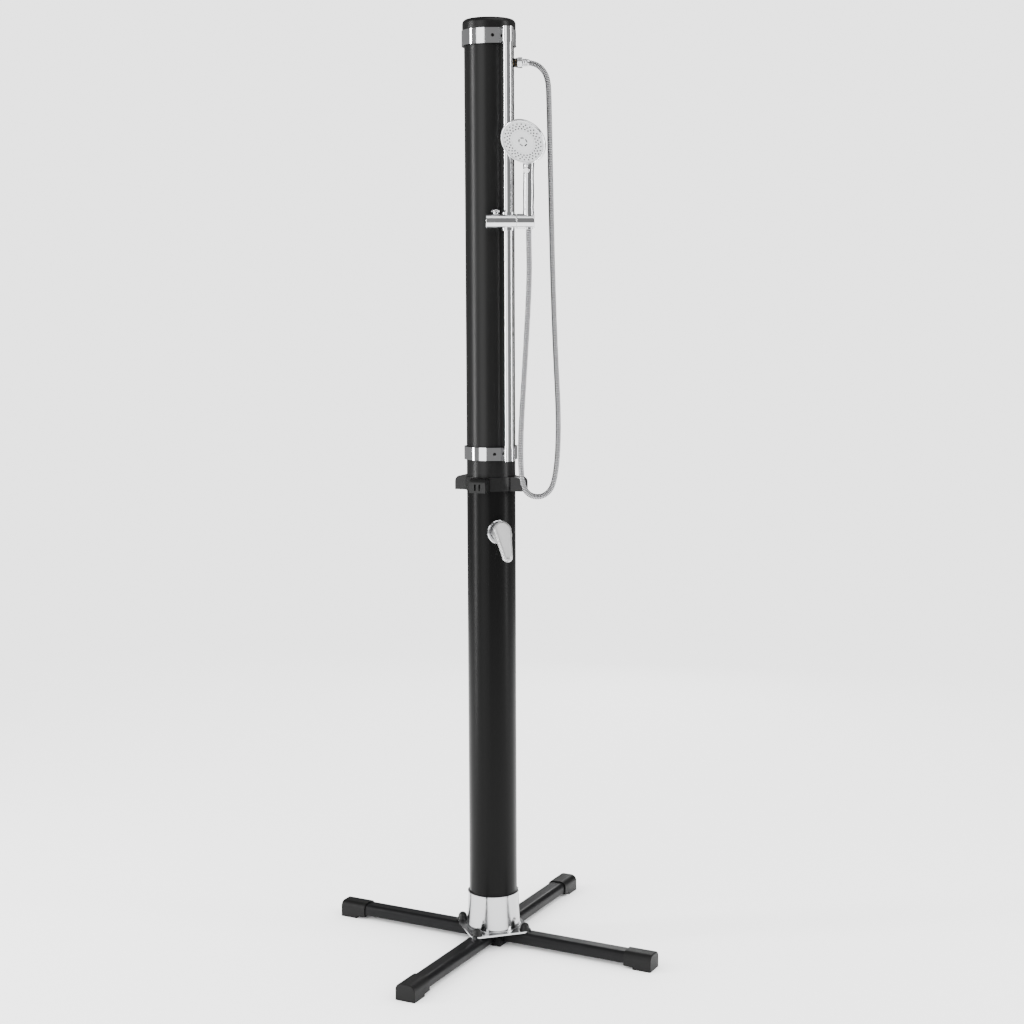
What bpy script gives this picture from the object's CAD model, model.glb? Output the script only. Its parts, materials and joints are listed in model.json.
# %% [markdown]
# # An outdoor shower post
#
# A black tube post on four spread legs carries a mixer lever, a chrome slide rail with a hand
# shower, and the ribbed metal hose that feeds it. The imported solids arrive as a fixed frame. This
# file lights them, gives each surface its finish, and models the pieces that need a closer hand.
# Lengths are in metres.

# %% Load the frame
import json
import math

import bpy
from mathutils import Matrix, Vector


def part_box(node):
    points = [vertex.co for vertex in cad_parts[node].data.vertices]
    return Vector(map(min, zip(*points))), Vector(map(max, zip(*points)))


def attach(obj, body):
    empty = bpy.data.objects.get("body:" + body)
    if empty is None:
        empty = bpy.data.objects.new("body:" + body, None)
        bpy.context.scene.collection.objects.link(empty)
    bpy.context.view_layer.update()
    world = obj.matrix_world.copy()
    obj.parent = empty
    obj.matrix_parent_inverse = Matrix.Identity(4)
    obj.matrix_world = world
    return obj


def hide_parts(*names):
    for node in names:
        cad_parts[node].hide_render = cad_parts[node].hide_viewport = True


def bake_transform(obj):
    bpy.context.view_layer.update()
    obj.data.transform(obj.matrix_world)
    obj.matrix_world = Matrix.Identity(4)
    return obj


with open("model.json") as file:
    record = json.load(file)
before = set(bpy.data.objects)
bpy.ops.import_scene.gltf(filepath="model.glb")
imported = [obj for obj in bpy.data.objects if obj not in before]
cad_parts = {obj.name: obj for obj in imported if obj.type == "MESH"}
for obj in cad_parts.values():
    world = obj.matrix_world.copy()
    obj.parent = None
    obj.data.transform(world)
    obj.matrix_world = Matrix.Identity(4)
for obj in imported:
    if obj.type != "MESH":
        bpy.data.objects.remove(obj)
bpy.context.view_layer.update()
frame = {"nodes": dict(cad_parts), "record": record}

# %% [markdown]
# ## The camera
#
# The photograph was taken from the left of the post's front, a little above its middle, with a
# long lens. The view below was worked out from the post's edges, the base plate and the legs. The
# roll is about a fifth of a degree, which is enough to see at the ends of a tall post.

# %% Place the camera
CAMERA_PLACE = Vector((-1.1930, -3.8815, 1.5375))
CAMERA_TURN = math.radians(17.7)      # looks this far to the right of straight ahead
CAMERA_DIP = math.radians(6.96)
CAMERA_ROLL = math.radians(-0.22)
LENS_LENGTH, SENSOR_WIDTH = 61.3, 36  # millimetres
PICTURE_SIDE = 1024                   # pixels
AXIS_OFFSET = 2                       # the lens's axis lies this many pixels left of the middle
FARTHEST_SEEN = 60


def camera_axes():
    """The camera's own right, up and backward directions."""
    ahead = Vector((math.sin(CAMERA_TURN) * math.cos(CAMERA_DIP),
                    math.cos(CAMERA_TURN) * math.cos(CAMERA_DIP), -math.sin(CAMERA_DIP)))
    level = Vector((math.cos(CAMERA_TURN), -math.sin(CAMERA_TURN), 0))
    rise = level.cross(ahead)
    right = level * math.cos(CAMERA_ROLL) + rise * math.sin(CAMERA_ROLL)
    up = rise * math.cos(CAMERA_ROLL) - level * math.sin(CAMERA_ROLL)
    return right, up, -ahead


bpy.ops.object.camera_add()
camera = bpy.context.object
camera.matrix_world = Matrix(camera_axes()).transposed().to_4x4()
camera.location = CAMERA_PLACE
camera.data.lens = LENS_LENGTH
camera.data.sensor_width = SENSOR_WIDTH
camera.data.shift_x = AXIS_OFFSET / PICTURE_SIDE
camera.data.clip_end = FARTHEST_SEEN
bpy.context.scene.camera = camera
print("camera at", tuple(round(c, 3) for c in camera.location))

# %% [markdown]
# ## The hose
#
# A shower hose is a strip of steel wound into interlocking ribs. It leaves the outlet near the
# top, hangs in a long loop beside the post and comes up into the handset's cone. The line it
# follows is a smooth spline over the control points of its free route.

# %% The hose's line
HOSE_ROUTE = [
    (0.06944, -0.03327, 2.07000),
    (0.08784, -0.04209, 2.07000),
    (0.10950, -0.05120, 2.05800),
    (0.12290, -0.05550, 2.03230),
    (0.12480, -0.05570, 1.98300),
    (0.12660, -0.05620, 1.89000),
    (0.12900, -0.05810, 1.73000),
    (0.13200, -0.06120, 1.56500),
    (0.13620, -0.06510, 1.42000),
    (0.14180, -0.06960, 1.28500),
    (0.14030, -0.07340, 1.20500),
    (0.13450, -0.07600, 1.14300),
    (0.12330, -0.07940, 1.10010),
    (0.09980, -0.08170, 1.08260),
    (0.07060, -0.08360, 1.08480),
    (0.04980, -0.08600, 1.10530),
    (0.04310, -0.08920, 1.16010),
    (0.04370, -0.09110, 1.24000),
    (0.05090, -0.09340, 1.36000),
    (0.05950, -0.09510, 1.49990),
    (0.06410, -0.09480, 1.60000),
    (0.06265, -0.09399, 1.66426),
    (0.06105, -0.09901, 1.71439),
]
LINE_RESOLUTION = 40


def spline_points(route):
    """Closely set points of the smooth spline that has these control points."""
    curve = bpy.data.curves.new("hose_line", "CURVE")
    curve.dimensions = "3D"
    curve.resolution_u = LINE_RESOLUTION
    spline = curve.splines.new("NURBS")
    spline.points.add(len(route) - 1)
    for point, place in zip(spline.points, route):
        point.co = (*place, 1)
    spline.order_u = 3
    spline.use_endpoint_u = True
    holder = bpy.data.objects.new("hose_line", curve)
    bpy.context.collection.objects.link(holder)
    bpy.context.view_layer.update()
    settled = holder.evaluated_get(bpy.context.evaluated_depsgraph_get())
    mesh = bpy.data.meshes.new_from_object(settled)
    points = [vertex.co.copy() for vertex in mesh.vertices]
    bpy.data.meshes.remove(mesh)
    bpy.data.objects.remove(holder)
    bpy.data.curves.remove(curve)
    return points


hose_points = spline_points(HOSE_ROUTE)
print("hose line: %d control points read as %d points" % (len(HOSE_ROUTE), len(hose_points)))

# %% [markdown]
# ### Reading the line
#
# Everything on the hose is placed by its distance along the line, so the line has to be read at
# any distance, together with two directions square to it. Both come from one fixed level
# direction that the hose never runs along, so nothing on it twists.

# %% A line that can be read at any distance
LEVEL_ACROSS = Vector((0.43, 0.90, 0))
HALF_SPAN = 0.002                     # the line's direction is read over this far each way


class Line:
    """A row of points, read as one line by the distance along it."""

    def __init__(self, points):
        self.points = points
        self.marks = [0.0]            # each point's distance from the start
        for a, b in zip(points, points[1:]):
            self.marks.append(self.marks[-1] + (b - a).length)
        self.length = self.marks[-1]
        self.last = 0                 # the stretch that was read last, where the next search starts

    def at(self, distance):
        distance = min(max(distance, 0.0), self.length)
        while self.last > 0 and self.marks[self.last] > distance:
            self.last -= 1
        while self.last < len(self.points) - 2 and self.marks[self.last + 1] < distance:
            self.last += 1
        a, b = self.points[self.last], self.points[self.last + 1]
        share = (distance - self.marks[self.last]) / max((b - a).length, 1e-9)
        return a.lerp(b, share)

    def square_at(self, distance):
        """The place at this distance, and two directions square to the line there."""
        way = (self.at(distance + HALF_SPAN) - self.at(distance - HALF_SPAN)).normalized()
        across = (LEVEL_ACROSS - way * LEVEL_ACROSS.dot(way)).normalized()
        return self.at(distance), across, way.cross(across)


hose_path = Line(hose_points)
print("hose: %.3f m" % hose_path.length)

# %% [markdown]
# ### The ribs
#
# A bevelled curve would give a bare pipe, so the hose is made as a mesh: rings of points are set
# square to the line, and their radius rises and falls once for every rib. A rib rises steeply,
# runs level and falls again, and a narrow groove parts it from the next. Both ends are left
# smooth, where a fitting holds them.

# %% Stations along the hose
HOSE_DIAMETER = 0.013
RIB_PITCH, RIB_HEIGHT = 0.0038, 0.0009
RIB_PROFILE = [(0.0, 0.0), (0.16, 1.0), (0.52, 1.0), (0.68, 0.0)]   # shares of pitch and height
SMOOTH_SHARE = 0.98                   # a smooth end stops just short of the first rib

crest = HOSE_DIAMETER / 2
rib_count = int((hose_path.length - 2 * HOSE_DIAMETER) / RIB_PITCH)
rib_start = (hose_path.length - rib_count * RIB_PITCH) / 2
smooth_end = rib_start * SMOOTH_SHARE
stations = [(0.0, crest), (smooth_end, crest)]      # distance along the hose, and radius
for rib in range(rib_count):
    for share, height in RIB_PROFILE:
        stations.append((rib_start + (rib + share) * RIB_PITCH, crest - RIB_HEIGHT * (1 - height)))
stations += [(hose_path.length - smooth_end, crest), (hose_path.length, crest)]
print("hose: %d ribs, %d stations" % (rib_count, len(stations)))

# %% [markdown]
# ### From stations to a tube
#
# A ring of points is set at every station, and bands of four-sided faces join each ring to the
# next. A flat face closes each end, so that every length of the hose is a closed shape.

# %% A tube through stations
HOSE_SIDES = 18


def tube_mesh(name, own):
    """A tube along the hose's line through some of its stations, closed by flat ends."""
    vertices, faces = [], []
    for distance, radius in own:
        centre, across, over = hose_path.square_at(distance)
        for side in range(HOSE_SIDES):
            angle = 2 * math.pi * side / HOSE_SIDES
            vertices.append(centre + (across * math.cos(angle) + over * math.sin(angle)) * radius)
    for ring in range(len(own) - 1):
        low, high = ring * HOSE_SIDES, (ring + 1) * HOSE_SIDES
        for side in range(HOSE_SIDES):
            after = (side + 1) % HOSE_SIDES
            faces.append((low + side, low + after, high + after, high + side))
    faces.append(tuple(reversed(range(HOSE_SIDES))))
    faces.append(tuple(range((len(own) - 1) * HOSE_SIDES, len(own) * HOSE_SIDES)))
    mesh = bpy.data.meshes.new(name)
    mesh.from_pydata([tuple(v) for v in vertices], [], faces)
    mesh.update()
    piece = bpy.data.objects.new(name, mesh)
    bpy.context.collection.objects.link(piece)
    return piece


# %% [markdown]
# ### Letting the hose follow the handset
#
# The handset's end of the hose moves with four joints, one after the other: the slider runs along
# the rail, swivels on it, the holder tilts, and the handset lifts out. A piece can bend across
# one joint only, so the tube is cut in a groove between two ribs at three places. Each length
# bends across its own joint, and its ends move exactly as the ends of its neighbours do.
#
# The height of each point on its rib is kept as an attribute, which the hose's finish reads
# later.

# %% Cut the tube into lengths
TAIL, NECK, RISE = 0.090, 0.120, 0.210      # lengths from the handset down
SMOOTH_STATIONS = 2                         # the stations of a smooth end, before the first rib


def groove_after(distance):
    """The number of the station at the start of the first rib past a distance."""
    rib = math.ceil((distance - rib_start) / RIB_PITCH)
    return SMOOTH_STATIONS + rib * len(RIB_PROFILE)


def hose_length(name, first, last):
    """One length of the hose between two stations, its ring centres and its length in metres."""
    own = stations[first:last + 1]
    piece = tube_mesh(name, own)
    piece.data.polygons.foreach_set("use_smooth", [True] * len(piece.data.polygons))
    heights = piece.data.attributes.new("rib_height", "FLOAT", "POINT")
    heights.data.foreach_set("value", [1 - (crest - radius) / RIB_HEIGHT
                                       for distance, radius in own for side in range(HOSE_SIDES)])
    centres = [tuple(hose_path.at(distance)) for distance, radius in own]
    long = own[-1][0] - own[0][0]
    print("%s: %.3f m" % (name, long))
    return piece, centres, long


cuts = [0]
for back in (TAIL + NECK + RISE, TAIL + NECK, TAIL):
    cuts.append(groove_after(hose_path.length - back))
cuts.append(len(stations) - 1)
hose_lengths = [hose_length(name, first, last) for name, first, last in
                zip(("shower_hose", "hose_rise", "hose_neck", "hose_tail"), cuts, cuts[1:])]

# %% [markdown]
# ### Spinning and finishing
#
# The pieces made here are modelled as by hand, and most of the round ones are spun, as on a
# lathe: the points of a closed profile are set out and turned once about an axis. A finished mesh
# is then moved to where it belongs, and its object stays at the origin, so that a pattern over
# the object's coordinates stays on it when a joint moves it.

# %% Helpers for spinning and finishing
MERGE_DISTANCE = 0.00001
new_pieces = []


def deselect_all():
    bpy.ops.object.select_all(action="DESELECT")


def spun_ring(profile, sides):
    """A closed ring: the profile's (radius, height) points are spun once about Z."""
    deselect_all()
    bpy.ops.mesh.primitive_circle_add(vertices=len(profile), radius=0.01, location=(0, 0, 0))
    ring = bpy.context.object         # its points are moved, so the circle's radius doesn't matter
    for vertex, (radius, height) in zip(ring.data.vertices, profile):
        vertex.co = (radius, 0, height)
    bpy.ops.object.mode_set(mode="EDIT")
    bpy.ops.mesh.select_all(action="SELECT")
    bpy.ops.mesh.spin(steps=sides, angle=2 * math.pi, center=(0, 0, 0), axis=(0, 0, 1))
    bpy.ops.mesh.select_all(action="SELECT")
    bpy.ops.mesh.remove_doubles(threshold=MERGE_DISTANCE)
    bpy.ops.mesh.normals_make_consistent(inside=False)
    bpy.ops.object.mode_set(mode="OBJECT")
    return ring


def finished(piece, name, slot, body, place=Matrix.Identity(4), angle=35):
    """Names the piece, puts its mesh in place, smooths it, and gives it its slot and its body."""
    piece.name = piece.data.name = name
    piece.data.transform(place)
    deselect_all()
    piece.select_set(True)
    bpy.context.view_layer.objects.active = piece
    bpy.ops.object.shade_smooth_by_angle(angle=math.radians(angle))
    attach(piece, body)
    new_pieces.append((piece, slot))
    print("%s: %d faces" % (name, len(piece.data.polygons)))


# %% [markdown]
# ### The crimped sleeve
#
# A sleeve of bright metal is crimped over the hose at the outlet, and the ribs run into it. It is
# wide at its nut, narrows to the hose, and two grooves show where the tool closed it. It is spun
# as a straight ring, and then every point is moved from the straight line to the hose's own line.
# At the other end the handset's cone covers the hose.

# %% Crimped sleeve
SLEEVE = [(0.0058, 0.0), (0.0082, 0.0), (0.0085, 0.0006), (0.0085, 0.0032), (0.0078, 0.0039),
          (0.0078, 0.0047), (0.0084, 0.0054), (0.0084, 0.0080), (0.0077, 0.0087), (0.0077, 0.0095),
          (0.0081, 0.0103), (0.0079, 0.0125), (0.0071, 0.0152), (0.0058, 0.0156)]
SLEEVE_SIDES = 40

outlet_sleeve = spun_ring(SLEEVE, SLEEVE_SIDES)
for vertex in outlet_sleeve.data.vertices:
    centre, across, over = hose_path.square_at(vertex.co.z)
    vertex.co = centre + across * vertex.co.x + over * vertex.co.y
finished(outlet_sleeve, "outlet_sleeve", "tap_chrome", "post")

# %% [markdown]
# ### Bending and declaring the lengths
#
# The first length is fixed at the outlet and follows the slider at its other end, so it bends
# across the whole loop, and the loop grows or shrinks as the slider runs. Each of the other three
# bends from its first ring to its last. All four stand for the one hose of the solids.

HOSE_JOINTS = [("post", "bush"), ("bush", "slider"), ("slider", "holder"), ("holder", "hose_end")]
for (piece, centres, long), (low_body, high_body) in zip(hose_lengths, HOSE_JOINTS):
    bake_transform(piece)
    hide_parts("hose")
    print("%s bends from %s to %s" % (piece.name, low_body, high_body))

# %% [markdown]
# ## Fittings made here
#
# The solids carry the working shapes. The fittings below are the small ones that a hand and an
# eye find first: the lever's crowned face, the rim and rings of the spray face, a ribbed grip and
# a thread.
#
# ### Picking and placing
#
# The lever's face and the grip start as a primitive, whose faces or points are picked by their
# place and shaped by edit mode's operators. The rings and the thread are spun. These helpers do
# the picking, and give the frame that a piece is moved to.

# %% Helpers for picking and placing
def pick(kind, wanted):
    """Selects the points, or the faces, that pass the test, and stays in edit mode."""
    bpy.ops.object.mode_set(mode="EDIT")
    bpy.ops.mesh.select_mode(type=kind)
    bpy.ops.mesh.select_all(action="DESELECT")
    bpy.ops.object.mode_set(mode="OBJECT")
    mesh = bpy.context.object.data
    for item in (mesh.vertices if kind == "VERT" else mesh.polygons):
        item.select = wanted(item)
    bpy.ops.object.mode_set(mode="EDIT")


def aimed(place, outward, across):
    """A frame at this place, with Z along outward and Y as near as it can be to across."""
    z = Vector(outward).normalized()
    x = Vector(across).cross(z).normalized()
    turn = Matrix((x, z.cross(x), z)).transposed().to_4x4()
    return Matrix.Translation(Vector(place)) @ turn


# %% [markdown]
# ### The lever's crowned face
#
# Seen from the front the lever is a drop, and it swells a little along its middle, so the light
# runs off it softly. A filled circle is stretched into the drop, then extruded and inset in steps
# that rise less each time, which gives a crown with a soft edge all round.

# %% Lever face
LEVER_TILT = math.radians(33.7)
LEVER_HEAD = Vector((0, -0.086, 1.010))
LEVER_SPAN = 0.0685                         # from the head's middle to the tip's
LEVER_HALF = 0.004                          # half the lever's thickness
HEAD_RADIUS, HEAD_SIDES, TIP_RADIUS = 0.0185, 64, 0.0095
TIP_SHARE = 0.15                            # what lies this far below the middle becomes the tip
EDGE_RISE = 0.0004
CROWN_STEPS = [(0.0005, 0.0005), (0.0012, 0.0006), (0.0022, 0.0005), (0.0028, 0.0003)]   # in, up
SUNK = 0.0001                               # so that no gap shows under the face

deselect_all()
bpy.ops.mesh.primitive_circle_add(vertices=HEAD_SIDES, radius=HEAD_RADIUS, fill_type="NGON",
                                  location=(0, 0, 0))
lever_face = bpy.context.object
pick("VERT", lambda point: point.co.y < -TIP_SHARE * HEAD_RADIUS)
tip_scale = TIP_RADIUS / HEAD_RADIUS
bpy.ops.transform.resize(value=(tip_scale, tip_scale, 1), center_override=(0, 0, 0))
bpy.ops.transform.translate(value=(0, -LEVER_SPAN, 0))
pick("FACE", lambda face: True)
bpy.ops.mesh.extrude_region_move(TRANSFORM_OT_translate={"value": (0, 0, EDGE_RISE)})
for step, rise in CROWN_STEPS:
    bpy.ops.mesh.inset(thickness=step, depth=0)
    bpy.ops.transform.translate(value=(0, 0, rise))
bpy.ops.mesh.select_all(action="SELECT")
bpy.ops.mesh.normals_make_consistent(inside=False)
bpy.ops.object.mode_set(mode="OBJECT")

lever_out = Vector((0, -math.cos(LEVER_TILT), math.sin(LEVER_TILT)))
finished(lever_face, "lever_face", "tap_chrome", "tap_lever",
         aimed(LEVER_HEAD + lever_out * (LEVER_HALF - SUNK), lever_out, (0, 0, 1)), angle=60)

# %% [markdown]
# ### The spray face's rim and rings
#
# The pale face sits in a bright rim, and two low rings part the rows of nozzles from the edge and
# from the middle. All three are small closed profiles, spun about the line of the spray.

# %% Rim and rings
HANDSET = Matrix(((0.721286, 0.691907, -0.0317801, 0.0611293),
                  (-0.691098, 0.715869, -0.0995802, -0.0987688),
                  (-0.0461499, 0.093789, 0.994522, 1.712), (0, 0, 0, 1)))   # as it hangs at rest
FACE_MIDDLE, FACE_DIP = (0, -0.030, 0.175), math.radians(25.7)              # on the handset
FACE_SINK = 0.0006                          # the pale face lies this far under the head's edge
SHOULDER_HEIGHT, SHOULDER_REACH = 0.8, 0.6  # shares of a ring's height and of its half width
RING_SIDES, RING_ANGLE = 96, 50
RINGS = [("outer_face_ring", 0.0470), ("inner_face_ring", 0.0270)]

face_frame = HANDSET @ aimed(FACE_MIDDLE, (0, -math.cos(FACE_DIP), -math.sin(FACE_DIP)), (1, 0, 0))


def low_ring(radius, half_width, foot, top):
    """The profile of a low ring, flat underneath and round on top."""
    shoulder = foot + (top - foot) * SHOULDER_HEIGHT
    reach = half_width * SHOULDER_REACH
    return [(radius - half_width, foot), (radius - reach, shoulder), (radius, top),
            (radius + reach, shoulder), (radius + half_width, foot)]


rim = low_ring(radius=0.0514, half_width=0.0014, foot=-0.0004, top=0.0009)
finished(spun_ring(rim, RING_SIDES), "face_rim", "handset_chrome", "handset", face_frame,
         angle=RING_ANGLE)
for name, radius in RINGS:
    ring = low_ring(radius, half_width=0.0007, foot=-FACE_SINK - 0.0003, top=-FACE_SINK + 0.0004)
    finished(spun_ring(ring, RING_SIDES), name, "face_plastic", "handset", face_frame,
             angle=RING_ANGLE)

# %% [markdown]
# ### The ribbed grip
#
# The release knob is pressed and held with a fingertip, so its side is ribbed. The side faces of
# an open cylinder are inset one by one and sunk, which leaves a rib between each two, and a
# Solidify modifier turns the skin into a wall.

# %% Knob grip
GRIP_RADIUS, GRIP_HEIGHT, GRIP_WALL = 0.0089, 0.0026, 0.0012
GRIP_DROP = 0.0044                    # its middle lies this far below the knob's top
GRIP_RIBS, RIB_HALF, RIB_DEPTH = 36, 0.00022, 0.0003

knob_low, knob_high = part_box("release_knob")
knob_middle = (knob_low + knob_high) / 2
deselect_all()
bpy.ops.mesh.primitive_cylinder_add(vertices=GRIP_RIBS, radius=GRIP_RADIUS, depth=GRIP_HEIGHT,
                                    end_fill_type="NOTHING", location=(0, 0, 0))
grip = bpy.context.object
pick("FACE", lambda face: True)
bpy.ops.mesh.inset(thickness=RIB_HALF, depth=-RIB_DEPTH, use_individual=True)
bpy.ops.object.mode_set(mode="OBJECT")
wall = grip.modifiers.new("Wall", "SOLIDIFY")
wall.thickness, wall.offset = GRIP_WALL, -1
bpy.ops.object.modifier_apply(modifier=wall.name)
finished(grip, "knob_grip", "slider_chrome", "release_button",
         Matrix.Translation((knob_middle.x, knob_middle.y, knob_high.z - GRIP_DROP)), angle=25)

# %% [markdown]
# ### The inlet's thread
#
# The garden hose screws onto the brass nipple behind the post. Its thread is a row of sharp
# rings, because at this pitch the eye can't tell them from a helix. They are joined into one
# piece.

# %% Inlet thread
NIPPLE_RADIUS, THREAD_PITCH, THREAD_TURNS, THREAD_SIDES = 0.0085, 0.0018, 10, 40
THREAD = [(-0.0004, 0.0), (0.0001, 0.0002), (0.0005, 0.0008),         # out, and along
          (0.0005, 0.0010), (0.0001, 0.0016), (-0.0004, 0.0018)]
THREAD_START = (0, 0.0670, 0.175)


def thread_turn(turn):
    profile = [(NIPPLE_RADIUS + out, turn * THREAD_PITCH + along) for out, along in THREAD]
    return spun_ring(profile, THREAD_SIDES)


turns = [thread_turn(turn) for turn in range(THREAD_TURNS)]
deselect_all()
for turn in turns:
    turn.select_set(True)
bpy.context.view_layer.objects.active = turns[0]
bpy.ops.object.join()
finished(bpy.context.object, "inlet_thread", "fitting_brass", "post",
         aimed(THREAD_START, (0, 1, 0), (0, 0, 1)), angle=25)

# %% [markdown]
# ## Finishes
#
# Every finish starts from one Principled shader. Its steady values are typed on the shader's own
# sockets. What changes over the surface, such as dull patches, die lines or grain, comes from
# noise read at Object coordinates, so it stays on the piece when a joint moves it.

# %% Helpers for finishes
def grey(tone):
    return (tone, tone, tone)


def new_finish(name, colour, rough, metal=0.0, gloss=0.5):
    """A material with these steady values, its node tree and its shader."""
    finish = bpy.data.materials.new(name)
    finish.use_nodes = True
    shader = finish.node_tree.nodes["Principled BSDF"]
    shader.inputs["Base Color"].default_value = (*colour, 1)
    shader.inputs["Roughness"].default_value = rough
    shader.inputs["Metallic"].default_value = metal
    shader.inputs["Specular IOR Level"].default_value = gloss
    return finish, finish.node_tree, shader


def noise(tree, scale, stretch=(1, 1, 1), detail=3.0, rough=0.5):
    """Noise over the piece's own coordinates, drawn out along an axis by a small stretch number."""
    place = tree.nodes.new("ShaderNodeTexCoord")
    mapping = tree.nodes.new("ShaderNodeMapping")
    mapping.inputs["Scale"].default_value = stretch
    texture = tree.nodes.new("ShaderNodeTexNoise")
    texture.inputs["Scale"].default_value = scale
    texture.inputs["Detail"].default_value = detail
    texture.inputs["Roughness"].default_value = rough
    tree.links.new(place.outputs["Object"], mapping.inputs["Vector"])
    tree.links.new(mapping.outputs["Vector"], texture.inputs["Vector"])
    return texture.outputs["Fac"]


def spread(tree, pattern, low, high, start=0.2, end=0.8):
    """The pattern's values between start and end become values between low and high."""
    span = tree.nodes.new("ShaderNodeMapRange")
    span.interpolation_type = "SMOOTHSTEP"
    sockets = ("From Min", "From Max", "To Min", "To Max")
    for socket, number in zip(sockets, (start, end, low, high)):
        span.inputs[socket].default_value = number
    tree.links.new(pattern, span.inputs["Value"])
    return span.outputs["Result"]


# %% [markdown]
# ### What a pattern changes
#
# A pattern can reach the shader in three ways. It makes some places duller than others, it mixes
# two colours, or it raises the surface by a fraction of a millimetre for the light alone.

# %% Roughness, colour and relief
def dulled(tree, shader, pattern, low, high, start=0.2, end=0.8):
    """The pattern moves the roughness between low and high."""
    tree.links.new(spread(tree, pattern, low, high, start, end), shader.inputs["Roughness"])


def tint(tree, shader, pattern, dark, light):
    """The pattern mixes two colours into the base colour."""
    mix = tree.nodes.new("ShaderNodeMix")
    mix.data_type = "RGBA"
    mix.inputs["A"].default_value = (*dark, 1)
    mix.inputs["B"].default_value = (*light, 1)
    tree.links.new(pattern, mix.inputs["Factor"])
    tree.links.new(mix.outputs["Result"], shader.inputs["Base Color"])


def relief(tree, shader, pattern, height, strength):
    """The pattern raises and lowers the surface by this many metres for the light."""
    bump = tree.nodes.new("ShaderNodeBump")
    bump.inputs["Strength"].default_value = strength
    bump.inputs["Distance"].default_value = height
    tree.links.new(pattern, bump.inputs["Height"])
    tree.links.new(bump.outputs["Normal"], shader.inputs["Normal"])


# %% [markdown]
# ### Black finishes
#
# The blacks of this post differ in how they take light. The tubes are extruded plastic, so they
# shine softly and carry faint lines along their length. The legs are powder coated, with a fine
# orange peel. The caps, the collar and the feet are moulded, with a fine grain and slow changes
# of gloss where the plastic flowed.

# %% Black finishes
def extruded_black(name, tone, gloss):
    finish, tree, shader = new_finish(name, grey(tone), rough=0.28, gloss=gloss)
    lines = noise(tree, scale=70, stretch=(1, 1, 0.012), detail=4)
    haze = noise(tree, scale=5, detail=2)
    dulled(tree, shader, haze, low=0.285, high=0.34)
    tint(tree, shader, lines, grey(tone * 0.7), grey(tone * 1.5))
    relief(tree, shader, lines, height=0.0001, strength=0.15)
    return finish


def powder_coat(name):
    finish, tree, shader = new_finish(name, (0.003, 0.003, 0.0032), rough=0.40, gloss=0.13)
    peel = noise(tree, scale=900, detail=2)
    patches = noise(tree, scale=14)
    dulled(tree, shader, patches, low=0.32, high=0.46)
    tint(tree, shader, patches, (0.0018, 0.0018, 0.002), (0.0045, 0.0045, 0.005))
    relief(tree, shader, peel, height=0.0003, strength=0.30)
    return finish


def moulded_black(name, rough, grain, tone, gloss=0.16):
    finish, tree, shader = new_finish(name, grey(tone), rough, gloss=gloss)
    pores = noise(tree, scale=1600, detail=2)
    flow = noise(tree, scale=22, stretch=(1, 1, 0.5))
    dulled(tree, shader, flow, low=rough - 0.05, high=rough + 0.08)
    tint(tree, shader, flow, grey(tone * 0.8), grey(tone * 1.5))
    relief(tree, shader, pores, height=0.00025, strength=grain)
    return finish


# %% [markdown]
# ### Bright metal
#
# Chrome is a mirror, so it is mostly the room that gives it its look. Its own share is a very
# slight waviness, which bends the reflections as a plated casting does, and thin smears where
# hands have been. Steel that is drawn or turned gets long scratches in its roughness instead, and
# brass gets turning marks and a patchy tarnish.

# %% Bright metal
def chrome(name, tone, rough, wave=0.00006):
    colour = (tone, tone * 1.005, tone * 1.02)          # a very slightly blue grey
    dark = (tone * 0.96, tone * 0.965, tone * 0.98)
    light = (tone * 1.03, tone * 1.035, tone * 1.05)
    finish, tree, shader = new_finish(name, colour, rough, metal=1.0)
    smears = noise(tree, scale=26, stretch=(1, 1, 0.4), detail=5, rough=0.6)
    swell = noise(tree, scale=38, detail=1)
    dulled(tree, shader, smears, low=rough * 0.7, high=rough * 2.2, start=0.35, end=0.75)
    tint(tree, shader, smears, dark, light)
    relief(tree, shader, swell, height=wave, strength=0.5)
    return finish


def drawn_steel(name, tone):
    rough = 0.39
    finish, tree, shader = new_finish(name, (tone, tone, tone * 1.02), rough, metal=1.0)
    scratches = noise(tree, scale=420, stretch=(1, 1, 0.3), detail=4, rough=0.65)
    dulled(tree, shader, scratches, low=rough * 0.75, high=rough * 1.35)
    tint(tree, shader, scratches, grey(tone * 0.9), grey(tone * 1.08))
    relief(tree, shader, scratches, height=0.00008, strength=0.25)
    return finish


def brass(name):
    finish, tree, shader = new_finish(name, (0.58, 0.42, 0.17), rough=0.28, metal=1.0)
    tarnish = noise(tree, scale=60, detail=5, rough=0.6)
    turning = noise(tree, scale=700, stretch=(0.2, 1, 1), detail=2)
    dulled(tree, shader, tarnish, low=0.29, high=0.45)
    tint(tree, shader, tarnish, (0.42, 0.29, 0.12), (0.64, 0.48, 0.21))
    relief(tree, shader, turning, height=0.0001, strength=0.25)
    return finish


# %% [markdown]
# ### The hose's steel
#
# On the real hose each rib catches the light on its crest and is dark where it tucks under the
# next one. The mesh carries its rib height as an attribute, and the finish reads it for colour
# and roughness, so the dark grooves stay where the shape has them.

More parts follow.
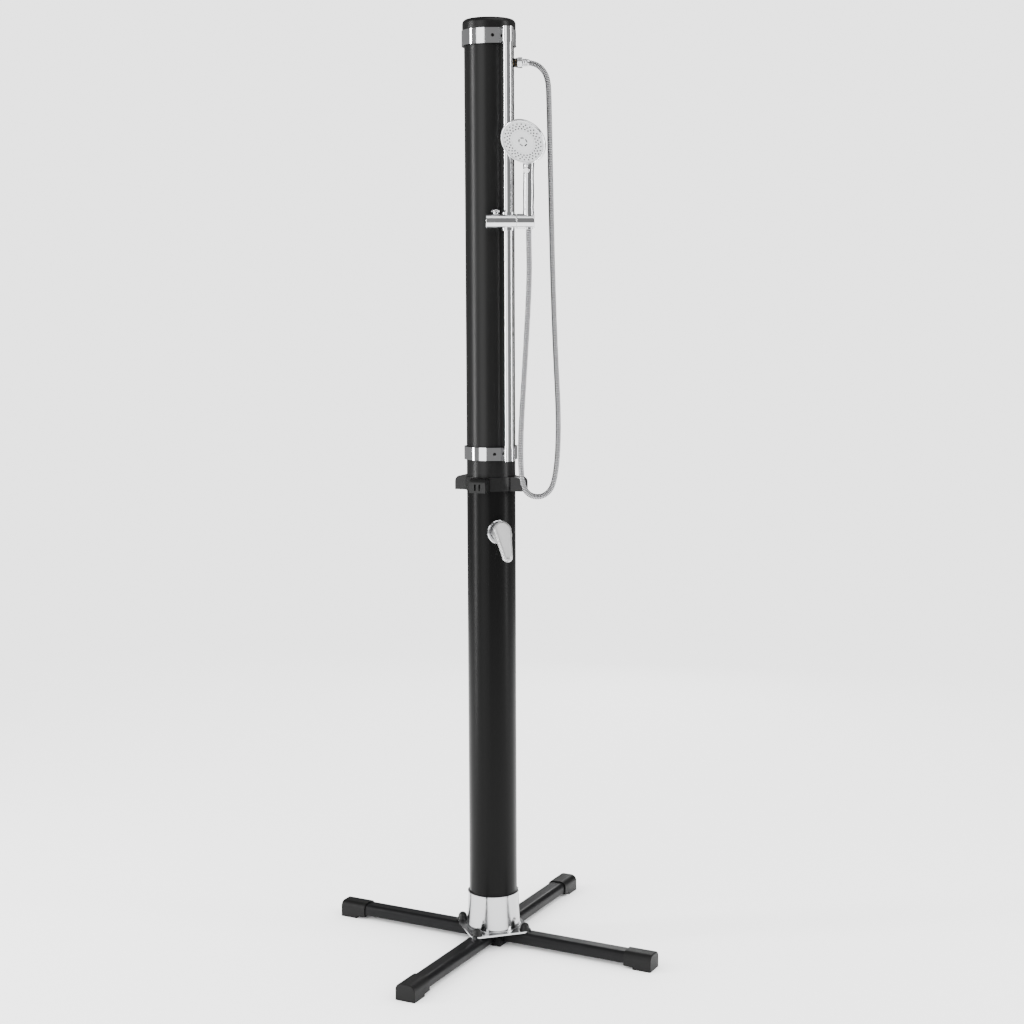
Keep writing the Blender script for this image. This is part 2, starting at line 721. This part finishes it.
# %% Hose finish
def ribbed_steel(name):
    finish, tree, shader = new_finish(name, (0.62, 0.62, 0.63), rough=0.26, metal=1.0)
    rib = tree.nodes.new("ShaderNodeAttribute")
    rib.attribute_name = "rib_height"
    height = rib.outputs["Fac"]
    wear = noise(tree, scale=120, detail=4)
    worn = tree.nodes.new("ShaderNodeMath")             # a share of the wear, and the rib's height
    worn.operation = "MULTIPLY_ADD"
    worn.inputs[1].default_value = 0.22
    tree.links.new(wear, worn.inputs[0])
    tree.links.new(spread(tree, height, low=0.0, high=0.78, start=0.3, end=1.0), worn.inputs[2])
    tint(tree, shader, worn.outputs[0], (0.012, 0.012, 0.013), (0.50, 0.50, 0.51))
    dulled(tree, shader, height, low=0.6, high=0.24, start=0.0, end=1.0)
    relief(tree, shader, wear, height=0.0001, strength=0.2)
    return finish


# %% [markdown]
# ### Plastics and rubber
#
# The handset's face is pale moulded plastic, its nozzles are soft dark silicone, and the pieces
# inside the post are plain white plastic. Each has a slow change of tone and a fine grain.

# %% Plastics and rubber
def moulded_plastic(name, colour, rough, grain=0.2):
    finish, tree, shader = new_finish(name, colour, rough)
    flow = noise(tree, scale=40)
    pores = noise(tree, scale=1500, detail=2)
    dulled(tree, shader, flow, low=rough - 0.05, high=rough + 0.07)
    tint(tree, shader, flow, tuple(c * 0.93 for c in colour), tuple(c * 1.05 for c in colour))
    relief(tree, shader, pores, height=0.0002, strength=grain)
    return finish


def rubber(name, tone):
    finish, tree, shader = new_finish(name, grey(tone), rough=0.62, gloss=0.1)
    bloom = noise(tree, scale=90, detail=4)
    dulled(tree, shader, bloom, low=0.52, high=0.72)
    tint(tree, shader, bloom, grey(tone * 0.8), grey(tone * 1.3))
    relief(tree, shader, noise(tree, scale=1200), height=0.0002, strength=0.4)
    return finish


# %% [markdown]
# ### One finish for each slot
#
# The record gives every solid a material slot. A slot's finish is made once, and all the pieces
# in the slot share it. The mirrors are toned down from real chrome, because the photograph's
# chrome is a middle grey.

# %% Make every finish once
FINISHES = {
    "leg_paint": powder_coat("leg_powder_coat"),
    "foot_plastic": moulded_black("foot_plastic", rough=0.48, grain=0.5, tone=0.003),
    "base_chrome": chrome("base_chrome", tone=0.50, rough=0.12, wave=0.00012),
    "fastener_steel": drawn_steel("fastener_steel", tone=0.50),
    "screw_black": moulded_black("screw_black", rough=0.35, grain=0.1, tone=0.002, gloss=0.1),
    "nut_plastic": moulded_black("nut_plastic", rough=0.34, grain=0.1, tone=0.004, gloss=0.3),
    "tube_black": extruded_black("tube_black", tone=0.0045, gloss=0.16),
    "cap_black": moulded_black("cap_black", rough=0.34, grain=0.2, tone=0.003, gloss=0.2),
    "collar_black": moulded_black("collar_black", rough=0.34, grain=0.3, tone=0.003, gloss=0.28),
    "inner_plastic": moulded_plastic("inner_plastic", (0.50, 0.50, 0.49), rough=0.45),
    "seal_rubber": rubber("seal_rubber", tone=0.012),
    "rail_chrome": chrome("rail_chrome", tone=0.74, rough=0.06, wave=0.00003),
    "saddle_plastic": moulded_black("saddle_plastic", rough=0.42, grain=0.3, tone=0.008),
    "slider_chrome": chrome("slider_chrome", tone=0.70, rough=0.07),
    "bush_plastic": moulded_plastic("bush_plastic", (0.30, 0.31, 0.32), rough=0.40),
    "handset_chrome": chrome("handset_chrome", tone=0.66, rough=0.07),
    "face_plastic": moulded_plastic("face_plastic", (0.36, 0.365, 0.37), rough=0.34, grain=0.1),
    "nozzle_rubber": rubber("nozzle_rubber", tone=0.002),
    "fitting_brass": brass("fitting_brass"),
    "hose_steel": ribbed_steel("hose_steel"),
    "tap_chrome": chrome("tap_chrome", tone=0.70, rough=0.08),
    "pipe_plastic": moulded_plastic("pipe_plastic", (0.55, 0.55, 0.54), rough=0.45),
}
print("finishes:", len(FINISHES))

# %% [markdown]
# ### Two pieces of their own kind
#
# The lever and its crowned face are satin steel, where the rest of their slot is a mirror. The
# lower tube is blacker than the upper one in the photograph, so it has the same finish in a
# darker tone.

# %% Give every piece its finish
satin_lever = drawn_steel("satin_lever", tone=0.56)
lower_tube_black = extruded_black("lower_tube_black", tone=0.0015, gloss=0.09)
for part in frame["record"]["subparts"]:
    solid = frame["nodes"][part["node"]]
    if not solid.material_slots:
        solid.data.materials.append(None)
    for slot in solid.material_slots:
        slot.material = FINISHES[part["material_slot"]]
frame["nodes"]["tap_lever"].material_slots[0].material = satin_lever
frame["nodes"]["lower_tube"].material_slots[0].material = lower_tube_black
for piece, centres, long in hose_lengths:
    piece.data.materials.append(FINISHES["hose_steel"])
for piece, slot in new_pieces:
    piece.data.materials.clear()
    piece.data.materials.append(satin_lever if piece is lever_face else FINISHES[slot])
print("dressed: %d solids and %d new pieces"
      % (len(frame["nodes"]), len(new_pieces) + len(hose_lengths)))

# %% [markdown]
# ## Floor and light
#
# The studio is a pale floor under soft light. The floor is small, because the chrome would mirror
# a wide one as a broad pale band, and it has no gloss of its own.

# %% The floor
FLOOR_RADIUS, FLOOR_SIDES = 4, 96

deselect_all()
bpy.ops.mesh.primitive_circle_add(vertices=FLOOR_SIDES, radius=FLOOR_RADIUS, fill_type="NGON",
                                  location=(0, 0, 0))
floor = bpy.context.object
floor.name = "studio_floor"
floor_finish, tree, shader = new_finish("studio_floor", grey(0.84), rough=0.85, gloss=0.0)
tint(tree, shader, noise(tree, scale=0.6, detail=2), grey(0.835), grey(0.85))
floor.data.materials.append(floor_finish)
print("floor:", FLOOR_RADIUS, "m in radius")

# %% [markdown]
# ### The panels of light
#
# Chrome and black plastic show little but what they reflect, so four of the lights are tall
# panels. Each draws a long soft stripe on the round tubes, and the stripes are what shows that
# they are round. A square one hangs overhead and softens the shadows.

# %% The panels of light
PANELS = [      # name, place, what it is turned to, width, height, watts
    ("side_strip", (-2.9, 0.45, 1.5), (0, 0, 1.3), 0.35, 3.2, 110),
    ("broad_panel", (-2.6, -1.9, 1.7), (0, 0, 1.2), 1.9, 3.2, 60),
    ("right_strip", (2.6, -1.7, 1.6), (0, 0, 1.1), 0.5, 3.0, 60),
    ("back_panel", (1.5, 2.7, 1.8), (0, 0, 1.5), 0.6, 2.4, 26),
    ("top_panel", (0.7, -1.5, 4.2), (0, -0.3, 1.0), 3.0, 3.0, 60),
]
for name, place, target, width, height, watts in PANELS:
    bpy.ops.object.light_add(type="AREA", location=place)
    panel = bpy.context.object
    panel.name = name
    panel.data.shape = "RECTANGLE"
    panel.data.size, panel.data.size_y = width, height
    panel.data.energy = watts
    panel.rotation_euler = (Vector(target) - Vector(place)).to_track_quat("-Z", "Y").to_euler()
    print("%s: %g W" % (name, watts))

# %% [markdown]
# ### The room
#
# The camera sees a nearly white backdrop, and the dull surfaces are lit by a bright room. What
# the mirrors meet is a much darker room, so they show the panels and not an even grey.

# %% The room
ROOM_LIT, ROOM_MIRRORED, ROOM_SEEN = 3.2, 0.30, 2.86

world = bpy.data.worlds.new("studio_room")
bpy.context.scene.world = world
world.use_nodes = True
room = world.node_tree
backdrop = room.nodes["Background"]
ray = room.nodes.new("ShaderNodeLightPath")


def room_light(below, strength, kind):
    """A room of this brightness for one kind of ray, laid over the room that the others meet."""
    light = room.nodes.new("ShaderNodeBackground")
    light.inputs["Color"].default_value = (1, 1, 1, 1)
    light.inputs["Strength"].default_value = strength
    choice = room.nodes.new("ShaderNodeMixShader")
    room.links.new(ray.outputs[kind], choice.inputs["Fac"])
    room.links.new(below.outputs[0], choice.inputs[1])
    room.links.new(light.outputs["Background"], choice.inputs[2])
    return choice


backdrop.inputs["Color"].default_value = (1, 1, 1, 1)
backdrop.inputs["Strength"].default_value = ROOM_LIT
mirrored = room_light(backdrop, ROOM_MIRRORED, "Is Glossy Ray")
seen = room_light(mirrored, ROOM_SEEN, "Is Camera Ray")
room.links.new(seen.outputs["Shader"], room.nodes["World Output"].inputs["Surface"])
print("room:", ROOM_LIT, "lit,", ROOM_MIRRORED, "mirrored,", ROOM_SEEN, "seen")
